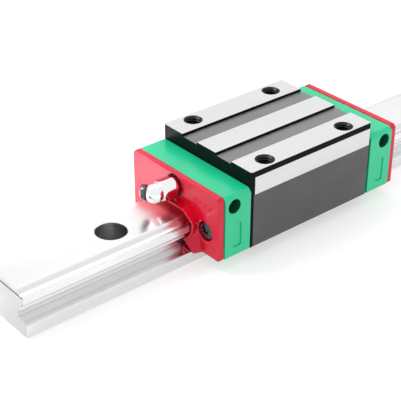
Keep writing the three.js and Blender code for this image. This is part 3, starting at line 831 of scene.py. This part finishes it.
TOP_RETAINER = rectangle(-7.8, 7.8, 17.55, 18.45)
MIDDLE_RETAINER = rectangle(12.15, 13.1, 12.9, 14.4)
LOWER_RETAINER = rectangle(9.3, 11.2, 6.3, 7.1)
BOTTOM_SEAL = [(12.85, 4.75), (16.3, 4.75), (16.3, 6.1), (13.2, 6.1), (11.6, 5.85), (11.6, 5.55)]


# ---------------------------------------------------------------- end caps
def end_cap(end):
    c, g = CAP, GREASE
    inner, outer = end * c["inner"], end * c["outer"]
    outline = rounded(plate(c["half_width"], c["bottom"], c["top"], c["chamfer"], c["foot_chamfer"]), 0.35)
    body = prism(outline, inner, outer, rim=0.15, rim_steps=2)
    beyond, groove = outer + end, inner + end * g["groove_depth"]
    z = NIPPLE["z"]
    tools = [
        prism(rounded(offset(rail_envelope(), c["gap"]), 0.4), inner - end, beyond),
        rod(NIPPLE["cap_hole"], (0, end * g["hole_end"], z), (0, beyond, z)),
        rod(g["feed_radius"], (0, inner - end, z), (0, end * g["feed_end"], z), 20),
        block(
            -g["groove_reach"], g["groove_reach"], inner - end, groove,
            z - g["groove_half_width"], z + g["groove_half_width"],
        ),
    ]
    for side in SIDES.values():
        x0, x1 = sorted((side * g["branch"], side * g["groove_reach"]))
        tools.append(block(x0, x1, inner - end, groove, g["branch_bottom"], z))
        for row in ROWS.values():
            turn = turn_of(row, side, end)
            tools += [turn_channel(turn), turn_disc(turn, turn[1], 5)]
        x = side * SCREW["x"]
        tools.append(rod(SCREW["hole"], (x, inner - end, SCREW["z"]), (x, beyond, SCREW["z"]), 24))
        tools += [side_port(side, end), side_recess(side, end)]
    return cut(body, *tools)


def side_port(side, end):
    """The blind lubrication port in an end cap's side, with a drill point and an eased mouth."""
    c = CAP
    start = (side * c["half_width"], end * c["port_y"], c["port_z"])
    r, depth = c["port_radius"], c["port_depth"]
    profile = [(r + 1.2, -1), (r + 0.12, -0.01), (r, 0.14), (r, depth - 0.9), (0.8, depth), (0, depth)]
    return turned(profile, start, (-side, 0, 0), 56)


def in_side_port(centre, normal):
    c = CAP
    reach = math.hypot(abs(centre.y) - c["port_y"], centre.z - c["port_z"])
    return reach < c["port_radius"] + 0.02 and abs(centre.x) < c["half_width"] - 0.1


def side_recess(side, end):
    """A shallow panel below the port."""
    recess = SIDE_RECESS
    y0, y1 = sorted(end * y for y in recess["y"])
    outline = rounded(rectangle(y0, y1, *recess["z"]), recess["corner"], steps=5)
    x0, x1 = sorted((side * (CAP["half_width"] - recess["depth"]), side * (CAP["half_width"] + 1)))
    return wall(outline, x0, x1)


# ---------------------------------------------------------------- end seals and their screws
def end_seal(end):
    s = SEAL
    outline = rounded(plate(s["half_width"], s["bottom"], s["top"], s["chamfer"], s["foot_chamfer"]), 0.4)
    body = prism(outline, end * s["inner"], end * SEAL_OUTER, rim=s["rim"])
    rim, beyond = end * s["lip_reach"], end * (s["lip_reach"] + 1)
    lip = lofted([
        (LIP["outside_plate"], end * (SEAL_OUTER - s["lip_root"])),
        (LIP["outside_rim"], rim - end * 0.12),
        ([(x - 0.12, z - 0.06) for x, z in LIP["outside_rim"]], rim),
    ])
    lip = cut(lip, block(-30, 30, end * s["inner"], beyond, -5, s["bottom"]))
    tools = [
        prism(rounded(offset(rail_envelope(), s["gap"]), 0.3), end * (s["inner"] - 1), beyond),
        lofted([
            (LIP["inside_plate"], end * SEAL_OUTER), (LIP["inside_rim"], rim), (LIP["inside_rim"], beyond),
        ]),
        eased_hole(s["nipple_hole"], 0, NIPPLE["z"], end, s["thickness"] + 1),
    ]
    for side in SIDES.values():
        x, z = side * SCREW["x"], SCREW["z"]
        tools += [
            rod(SCREW["hole"], (x, end * (s["inner"] - 1), z), (x, beyond, z), 24),
            eased_hole(SCREW["pocket_radius"], x, z, end, SCREW["pocket_depth"]),
        ]
    return cut(join(body, lip, *seal_dots(end)), *tools)


def on_lip(edge):
    return min(abs(vert.co.y) for vert in edge.verts) > SEAL_OUTER + LIP_ONLY


def eased_hole(radius, x, z, end, depth):
    """A hole into the front of an end seal, with a rounded mouth."""
    ease = 0.2
    profile = [(radius, depth), (radius, ease)]
    profile += [(radius + ease - ease * math.cos(a), ease - ease * math.sin(a)) for a in (0.4, 0.8, 1.2)]
    profile += [(radius + ease, -0.01), (radius + ease + 1, -1.5)]
    return turned(profile, (x, end * SEAL_OUTER, z), (0, -end, 0), 56)


def seal_dots(end):
    """Four raised dots near the plate's top, on its +X side."""
    return [
        turned([(0.6, -0.3), (0.6, 0.06), (0.45, 0.17), (0, 0.22)], (x, end * SEAL_OUTER, z), (0, end, 0), 24)
        for x, z in SEAL_DOTS
    ]


def seal_screw(side, end):
    s = SCREW
    seat = SEAL_OUTER - s["pocket_depth"] + SEAM
    crown = seat + s["head_height"]
    along = (0, end, 0)
    x, z = side * s["x"], s["z"]
    r, h = s["head_radius"], s["head_height"]
    head = turned([
        (r, 0), (r, 0.2 * h), (r - 0.15, 0.42 * h), (r - 0.5, 0.66 * h), (r - 1.05, 0.86 * h),
        (r - 1.8, h), (0, h),
    ], (x, end * seat, z), along, 56)
    threaded = helical(s["shank"], 0.3, 0.5, (x, end * (s["tip"] - 0.8), z), along, seat - s["tip"] + 1, 24)
    blank = turned([
        (0.7, 0), (s["shank"], 0.6), (s["shank"], seat - s["tip"] + 0.1),
    ], (x, end * s["tip"], z), along, 24)
    tools = [cross_arm(x, z, end, crown, across) for across in (Vector((1, 0, 0)), Vector((0, 0, 1)))]
    return cut(join(head, within(blank, threaded)), *tools)


def cross_arm(x, z, end, crown, across):
    """One tapered arm of a cross recess."""
    up = across.cross(Vector((0, 1, 0)))
    rings = []
    for reach, width, depth in ((0.7, 0.22, 0.95), (1.75, 0.36, 0.0), (2.4, 0.45, -0.6)):
        centre = Vector((x, end * (crown - depth), z))
        corners = ((reach, width), (-reach, width), (-reach, -width), (reach, -width))
        rings.append([centre + a * across + b * up for a, b in corners])
    return skin(rings)


# ---------------------------------------------------------------- grease nipple
def nozzle_direction():
    bend, roll = math.radians(NOZZLE["bend"]), math.radians(NOZZLE["roll"])
    return Vector((math.sin(bend) * math.cos(roll), -math.cos(bend), math.sin(bend) * math.sin(roll)))


def along_nozzle(distance):
    return Vector((0, -NIPPLE["elbow"], NIPPLE["z"])) + nozzle_direction() * distance


def grease_nipple():
    """The nipple's body: a threaded shank, a collar, a hexagon and an elbow with a socket."""
    n = NIPPLE
    centre, front = n["z"], (0, -1, 0)
    hex_radius = n["across_flats"] / math.sqrt(3)
    corner = math.radians(n["hex_turn"])
    flats = n["hex_end"] - n["hex_start"]
    hexagon = turned(
        [(hex_radius, 0), (hex_radius, flats)], (0, -n["hex_start"], centre), front, 6,
        (math.cos(corner), 0, math.sin(corner)),
    )
    crown = turned([
        (hex_radius - 0.45, 0), (hex_radius - 0.1, 0.3), (hex_radius - 0.1, flats - 1.7), (3.58, flats - 0.5),
        (3.15, flats),
    ], (0, -n["hex_start"], centre), front, 64)
    collar = turned([
        (n["collar"] - 0.2, 0), (n["collar"], 0.2), (n["collar"], n["hex_start"] - n["collar_start"] + 0.3),
    ], (0, -n["collar_start"], centre), front, 56)
    shank = n["collar_start"] - n["thread_end"]
    blank = turned([
        (n["thread_radius"] - 0.5, 0), (n["thread_radius"], 0.6), (n["thread_radius"], shank + 0.1),
    ], (0, -n["thread_end"], centre), front, 48)
    threaded = helical(n["thread_radius"], 0.4, 0.75, (0, 1 - n["thread_end"], centre), front, shank + 1.5)
    elbow = sphere(n["elbow_radius"], (0, -n["elbow"], centre), 56)
    return cut(
        join(within(hexagon, crown), collar, within(blank, threaded), elbow),
        rod(n["bore"], (0, 1 - n["thread_end"], centre), (0, -n["elbow"], centre), 24),
        turned([
            (n["socket"], n["socket_start"]), (n["socket"], 2.65),
            (n["socket"] + 0.25, 2.9), (n["socket"] + 0.6, 3.9),
        ], along_nozzle(0), nozzle_direction(), 48),
    )


def nipple_nozzle():
    """The hardened nozzle that is pressed into the elbow."""
    n = NOZZLE
    start, direction = along_nozzle(0), nozzle_direction()
    outside = turned([
        (n["root"] - 0.15, n["root_start"]), (n["root"], n["root_start"] + 0.15), (n["root"], n["neck_end"]),
        (n["head"] - 0.12, n["head_start"] - 0.08), (n["head"], n["head_start"] + 0.08),
        (n["head"], n["head_end"] - 0.08), (n["head"] - 0.12, n["head_end"] + 0.09),
        (n["tip"] + 0.15, n["length"] - 0.12), (n["tip"] - 0.05, n["length"]),
    ], start, direction, 64)
    return cut(
        outside,
        rod(n["inlet"], along_nozzle(n["root_start"] - 1), along_nozzle(n["chamber_start"] + 0.1), 24),
        rod(n["chamber"], along_nozzle(n["chamber_start"]), along_nozzle(n["seat"]), 36),
        turned([
            (n["mouth"], n["seat"] - 0.1), (n["mouth"], n["length"] - 0.15),
            (n["mouth"] + 0.3, n["length"] + 0.1),
        ], start, direction, 36),
    )


def check_ball():
    low, high = box_mm("nipple_check_ball")
    centre = (low + high) / 2 - Vector((0, CARRIAGE_Y, 0))
    return sphere((high.x - low.x) / 2, centre, 32)


def check_spring():
    s, steps = SPRING, 24
    axis, across, up = axes(nozzle_direction())
    path = []
    for i in range(s["turns"] * steps + 1):
        angle = 2 * math.pi * i / steps
        along = s["start"] + (s["end"] - s["start"]) * i / (s["turns"] * steps)
        path.append(along_nozzle(along) + s["radius"] * (math.cos(angle) * across + math.sin(angle) * up))
    return tube(path, s["wire"])


def rear_plug():
    low, high = box_mm("rear_lubrication_plug")
    radius, length = (high.x - low.x) / 2, high.y - low.y
    start = Vector((0, low.y - CARRIAGE_Y, NIPPLE["z"]))
    along = (0, 1, 0)
    blank = turned([
        (radius - 0.45, 0), (radius, 0.45), (radius, length - 0.3), (radius - 0.3, length),
    ], start, along)
    threaded = helical(radius, 0.4, 0.75, start - Vector((0, 1, 0)), along, length + 1.5)
    socket = turned([(0, length - 2.6), (1.7, length - 2.2), (1.7, length + 1)], start, along, 6)
    mouth = turned([(1.5, length - 0.35), (2.0, length + 0.01), (2.4, length + 0.4)], start, along, 32)
    return cut(within(blank, threaded), socket, mouth)


# ---------------------------------------------------------------- the object
# The rail's top, sides and ends take the lit and shaded copies of its steel, painted light and shade.
piece("guide_rail", guide_rail(), [
    (RAIL_SIDE_PAINTED_SHADE_STEEL, None), (RAIL_END_PAINTED_SHADE_STEEL, is_rail_end), (RAIL_TOP_PAINTED_LIT_STEEL, is_rail_top),
    (HOLE_PAINTED_SHADE_STEEL, in_rail_hole),
])
# The block's faces take the lit and shaded copies of its blackened steel by facing, painted light and shade.
piece("carriage_block", carriage_block(), [
    (END_PAINTED_SHADE_STEEL, None), (RACEWAY_STEEL, is_raceway), (SIDE_PAINTED_SHADE_STEEL, is_block_side),
    (GROOVE_PAINTED_LIT_STEEL, is_groove_floor), (STRIP_STEEL, is_strip), (BAND_PAINTED_SHADE_STEEL, is_band),
    (THREAD_PAINTED_SHADE_STEEL, in_tapped_hole),
])
piece("top_ball_retainer", strip(TOP_RETAINER), [(BLACK_PLASTIC, None)])
for side_name, side in SIDES.items():
    piece(f"{side_name}_middle_ball_retainer", mirrored_strip(MIDDLE_RETAINER, side), [(BLACK_PLASTIC, None)])
    piece(f"{side_name}_lower_ball_retainer", mirrored_strip(LOWER_RETAINER, side), [(BLACK_PLASTIC, None)])
    piece(f"{side_name}_bottom_seal", mirrored_strip(BOTTOM_SEAL, side), [(RED, None)])
    for row_name, row in ROWS.items():
        piece(f"{side_name}_{row_name}_ball_circuit", ball_circuit(row, side), [(BEARING_STEEL, None)])
for end_name, end in ENDS.items():
    # The side port's wall takes the darkened green, painted shade.
    piece(f"{end_name}_end_cap", end_cap(end), [(GREEN, None), (PORT_PAINTED_SHADE_GREEN, in_side_port)])
    piece(f"{end_name}_end_seal", end_seal(end), [(RED, None)], creased=on_lip)
    for side_name, side in SIDES.items():
        piece(f"{end_name}_{side_name}_seal_screw", seal_screw(side, end), [(BLACK_STEEL, None)])
        for row_name, row in ROWS.items():
            guide = return_guide(row, side, end)
            piece(f"{end_name}_{side_name}_{row_name}_return_guide", guide, [(BLACK_PLASTIC, None)])
piece("grease_nipple", grease_nipple(), [(CHROME, None)])
piece("nipple_nozzle", nipple_nozzle(), [(NOZZLE_STEEL, None)])
piece("nipple_check_ball", check_ball(), [(BEARING_STEEL, None)])
coil = piece("nipple_spring", check_spring(), [(SPRING_STEEL, None)])
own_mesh(coil)
piece("rear_lubrication_plug", rear_plug(), [(BLACK_STEEL, None)])


# ---------------------------------------------------------------- floor, light and camera
def studio_floor():
    """A plain white floor that gives off light of its own, as a light table does."""
    half = 3.0
    corners = [(-half, -half, 0), (half, -half, 0), (half, half, 0), (-half, half, 0)]
    mesh = bpy.data.meshes.new("studio_floor")
    mesh.from_pydata(corners, [], [(0, 1, 2, 3)])
    f = Finish("floor_white", (0.5, 0.5, 0.5), 0.9, emission_color=(1, 1, 1, 1), emission_strength=0.53)
    mesh.materials.append(f.material)
    floor = bpy.data.objects.new("studio_floor", mesh)
    bpy.context.scene.collection.objects.link(floor)


def aimed(name, lamp, place, target):
    """Stands a lamp at a place and points it at a target. Lengths are in metres."""
    made = bpy.data.objects.new(name, lamp)
    made.location = place
    made.rotation_mode = "QUATERNION"
    made.rotation_quaternion = (Vector(target) - Vector(place)).to_track_quat("-Z", "Y")
    bpy.context.scene.collection.objects.link(made)


def softbox(name, place, target, size, power):
    """A large square lamp. Power is in watts."""
    lamp = bpy.data.lights.new(name, "AREA")
    lamp.size = size
    lamp.energy = power
    aimed(name, lamp, place, target)


def snoot(name, place, target, half_angle, power):
    """A narrow spotlight for brightening a patch of the white floor."""
    lamp = bpy.data.lights.new(name, "SPOT")
    lamp.spot_size = 2 * math.radians(half_angle)
    lamp.spot_blend = 0.6
    lamp.shadow_soft_size = 0.03
    lamp.energy = power
    aimed(name, lamp, place, target)


def white_surroundings(strength):
    world = bpy.data.worlds.new("studio")
    world.use_nodes = True
    background = world.node_tree.nodes["Background"]
    background.inputs["Color"].default_value = (1, 1, 1, 1)
    background.inputs["Strength"].default_value = strength
    bpy.context.scene.world = world


def studio_camera():
    """A camera 50 degrees round from the front, on the right, and 31 degrees above the floor."""
    azimuth, elevation, roll = math.radians(50), math.radians(30.94), math.radians(0.17)
    camera = bpy.data.cameras.new("camera")
    camera.sensor_width = 36
    camera.lens = 103.04
    camera.clip_start = 0.01
    made = bpy.data.objects.new("camera", camera)
    made.location = Vector((265.2, -273.9, 221.5)) * MM
    level = math.cos(elevation)
    ahead = Vector((-math.sin(azimuth) * level, math.cos(azimuth) * level, -math.sin(elevation)))
    made.rotation_euler = ahead.to_track_quat("-Z", "Y").to_euler()
    made.rotation_euler.rotate_axis("Z", roll)
    bpy.context.scene.collection.objects.link(made)
    bpy.context.scene.camera = made


studio_floor()
white_surroundings(1.0)
centre = Vector((0, CARRIAGE_Y, BLOCK["top"])) * MM
softbox("top_softbox", centre + Vector((-0.25, 0.35, 0.9)), centre, 0.7, 1.5)
softbox("front_left_softbox", centre + Vector((-0.42, -0.42, 0.75)), centre, 0.35, 3)
snoot("floor_spot", (-0.45, -0.1, 0.5), (-0.042, -0.094, 0), 2.8, 125)
studio_camera()
bpy.context.scene.view_settings.view_transform = "Standard"
